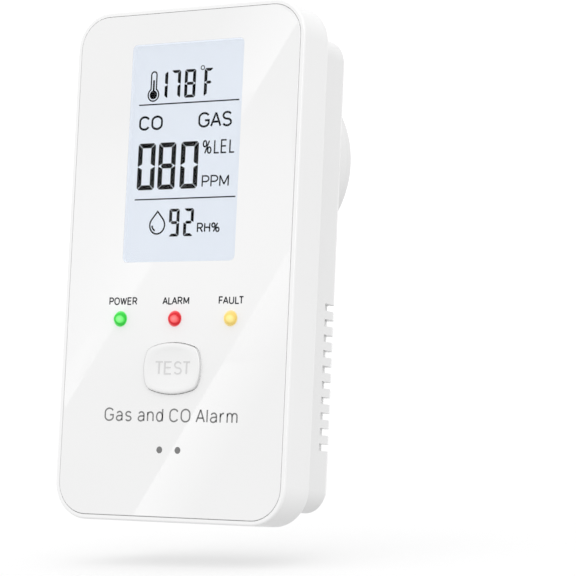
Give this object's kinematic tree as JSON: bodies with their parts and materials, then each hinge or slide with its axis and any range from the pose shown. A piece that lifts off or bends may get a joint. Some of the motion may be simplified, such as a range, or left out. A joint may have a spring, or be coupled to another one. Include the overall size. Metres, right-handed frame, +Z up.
{
  "type": "plug-in gas and carbon monoxide alarm",
  "caption": "Tall rounded white case with a glossy front panel, display window, indicator lamps and a test button, carried by a turning two-blade plug head on its back.",
  "frame": {"origin": "centre of the plug head's outer face, where it rests on the wall outlet", "axes": "+Z up along the case, +Y out of the back towards the wall, +X to the right seen from the front"},
  "size_m": [0.0554, 0.0505, 0.1051],
  "materials": {
    "case_white": "smooth satin ABS",
    "panel_white": "high gloss sheet",
    "clear_window": "clear gloss",
    "display_glass": "pale blue, lit from behind",
    "backlight": "diffusing",
    "natural_plastic": "moulded",
    "green_lens": "tinted epoxy",
    "red_lens": "tinted epoxy",
    "amber_lens": "tinted epoxy",
    "button_white": "satin ABS",
    "plug_white": "satin polycarbonate",
    "grey_rubber": "matt",
    "foam": "foam",
    "circuit_board": "solder resist",
    "black_plastic": "moulded",
    "plunger_plastic": "moulded",
    "tinned_metal": "tinned",
    "screw_steel": "zinc plated",
    "sensor_metal": "stainless",
    "blade_metal": "nickel plated",
    "spring_metal": "bright wire",
    "contact_metal": "bright",
    "ferrite": "sintered",
    "winding_tape": "taped",
    "capacitor_sleeve": "shrunk sleeve",
    "film_box": "moulded box",
    "resistor_body": "coated",
    "varistor_coat": "dipped",
    "fish_paper": "paper"
  },
  "bodies": {
    "housing": {"front_shell": "case_white", "front_panel": "panel_white", "display_lens": "clear_window", "lcd_glass": "display_glass", "lcd_backlight": "backlight", "lcd_frame": "natural_plastic", "lcd_pins": "tinned_metal", "led_green": "green_lens", "led_red": "red_lens", "led_amber": "amber_lens", "led_spacers": "natural_plastic", "led_leads": "tinned_metal", "switch_body": "black_plastic", "switch_cover": "tinned_metal", "main_board": "circuit_board", "case_screws": "screw_steel", "board_screws": "screw_steel", "power_board_screws": "screw_steel", "screw_plugs": "grey_rubber", "buzzer": "black_plastic", "buzzer_gasket": "foam", "gas_sensor_base": "black_plastic", "gas_sensor_cap": "sensor_metal", "sensor_pins": "tinned_metal", "co_sensor": "sensor_metal", "humidity_sensor": "black_plastic", "microcontroller": "black_plastic", "chip_parts": "black_plastic", "board_header": "natural_plastic", "header_pins": "tinned_metal", "insulation_sheet": "fish_paper", "power_board": "circuit_board", "transformer_core": "ferrite", "transformer_bobbin": "natural_plastic", "transformer_winding": "winding_tape", "input_capacitor": "capacitor_sleeve", "output_capacitor": "capacitor_sleeve", "film_capacitor": "film_box", "bridge_rectifier": "black_plastic", "fuse_resistor": "resistor_body", "inductor": "ferrite", "varistor": "varistor_coat", "contact_springs": "contact_metal", "rear_shell": "case_white", "latch_springs": "spring_metal"},
    "button": {"test_button": "button_white"},
    "plunger": {"switch_plunger": "plunger_plastic"},
    "plug": {"plug_head": "plug_white", "plug_face": "plug_white", "blade_left": "blade_metal", "blade_right": "blade_metal", "contact_pads": "contact_metal"},
    "latch": {"latch_button": "plug_white", "latch_pin": "screw_steel"}
  },
  "joints": [
    {"name": "test_press", "type": "slide", "parent": "housing", "child": "button", "axis": [0, 1, 0], "range_m": [0, 0.0005], "stiffness_N_per_m": 2000},
    {"name": "plunger_press", "type": "slide", "parent": "housing", "child": "plunger", "axis": [0, 1, 0], "range_m": [0, 0.0005]},
    {"name": "plug_twist", "type": "hinge", "parent": "housing", "child": "plug", "pos_m": [0, 0, 0], "axis": [0, 1, 0], "range_deg": [0, 30]},
    {"name": "latch_press", "type": "slide", "parent": "housing", "child": "latch", "axis": [-0.6639, 0, 0.7478], "range_m": [0, 0.0012], "stiffness_N_per_m": 800, "deforming": ["latch_springs"]}
  ],
  "couplings": [
    {"joint": "plunger_press", "follows": "test_press", "ratio": 1}
  ]
}
